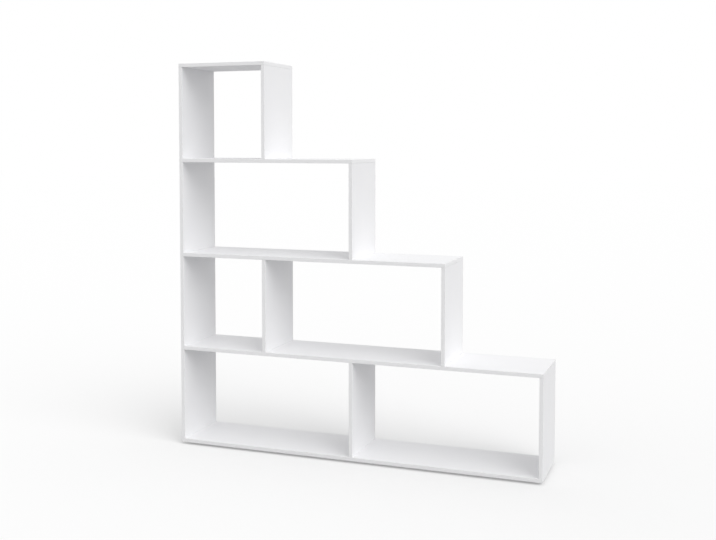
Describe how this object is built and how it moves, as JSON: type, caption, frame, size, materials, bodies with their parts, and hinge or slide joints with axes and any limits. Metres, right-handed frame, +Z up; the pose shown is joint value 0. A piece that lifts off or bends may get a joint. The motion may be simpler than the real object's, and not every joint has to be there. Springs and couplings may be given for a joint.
{
  "type": "staircase bookshelf",
  "caption": "Open-backed staircase bookshelf of white boards, its storeys stepping down towards one side, used against a wall or as a room divider.",
  "frame": {"origin": "middle of the footprint, on the floor under the glides", "axes": "+Z up; -Y is the front side that faces the camera; +X to the right as seen from the front, the way the steps go down"},
  "size_m": [1.527, 0.28, 1.605],
  "materials": {
    "white_melamine_board": "chipboard faced and edged with white melamine, satin, very fine pearl texture",
    "plated_steel": "bright zinc-plated steel",
    "cast_zinc": "dull die-cast zinc",
    "beech": "fluted bare beech",
    "white_polythene": "moulded white polythene"
  },
  "bodies": {
    "root": {"bottom_board": "white_melamine_board", "cam_bolt_row_1_right_back": "plated_steel", "cam_bolt_row_1_right_front": "plated_steel", "cam_bolt_row_2_right_back": "plated_steel", "cam_bolt_row_2_right_front": "plated_steel", "cam_bolt_row_3_right_back": "plated_steel", "cam_bolt_row_3_right_front": "plated_steel", "cam_housing_row_1_right_back": "cast_zinc", "cam_housing_row_1_right_front": "cast_zinc", "cam_housing_row_2_right_back": "cast_zinc", "cam_housing_row_2_right_front": "cast_zinc", "cam_housing_row_3_right_back": "cast_zinc", "cam_housing_row_3_right_front": "cast_zinc", "dowel_row_1_middle_back": "beech", "dowel_row_1_middle_front": "beech", "dowel_row_2_middle_back": "beech", "dowel_row_2_middle_front": "beech", "glide_left_back": "white_polythene", "glide_left_front": "white_polythene", "glide_middle_back": "white_polythene", "glide_middle_front": "white_polythene", "glide_right_back": "white_polythene", "glide_right_front": "white_polythene", "left_side_panel": "white_melamine_board", "row_1_middle_upright": "white_melamine_board", "row_1_right_upright": "white_melamine_board", "row_2_middle_upright": "white_melamine_board", "row_2_right_upright": "white_melamine_board", "row_3_right_upright": "white_melamine_board", "row_4_right_upright": "white_melamine_board", "screw_bottom_to_row_1_middle_back": "plated_steel", "screw_bottom_to_row_1_middle_front": "plated_steel", "screw_bottom_to_row_1_right_back": "plated_steel", "screw_bottom_to_row_1_right_front": "plated_steel", "screw_bottom_to_side_back": "plated_steel", "screw_bottom_to_side_front": "plated_steel", "screw_shelf_1_to_row_2_middle_back": "plated_steel", "screw_shelf_1_to_row_2_middle_front": "plated_steel", "screw_shelf_1_to_row_2_right_back": "plated_steel", "screw_shelf_1_to_row_2_right_front": "plated_steel", "screw_shelf_2_to_row_3_right_back": "plated_steel", "screw_shelf_2_to_row_3_right_front": "plated_steel", "screw_shelf_3_to_row_4_right_back": "plated_steel", "screw_shelf_3_to_row_4_right_front": "plated_steel", "screw_side_to_shelf_1_back": "plated_steel", "screw_side_to_shelf_1_front": "plated_steel", "screw_side_to_shelf_2_back": "plated_steel", "screw_side_to_shelf_2_front": "plated_steel", "screw_side_to_shelf_3_back": "plated_steel", "screw_side_to_shelf_3_front": "plated_steel", "screw_top_to_row_4_right_back": "plated_steel", "screw_top_to_row_4_right_front": "plated_steel", "screw_top_to_side_back": "plated_steel", "screw_top_to_side_front": "plated_steel", "shelf_1": "white_melamine_board", "shelf_2": "white_melamine_board", "shelf_3": "white_melamine_board", "top_board": "white_melamine_board"}
  },
  "joints": []
}
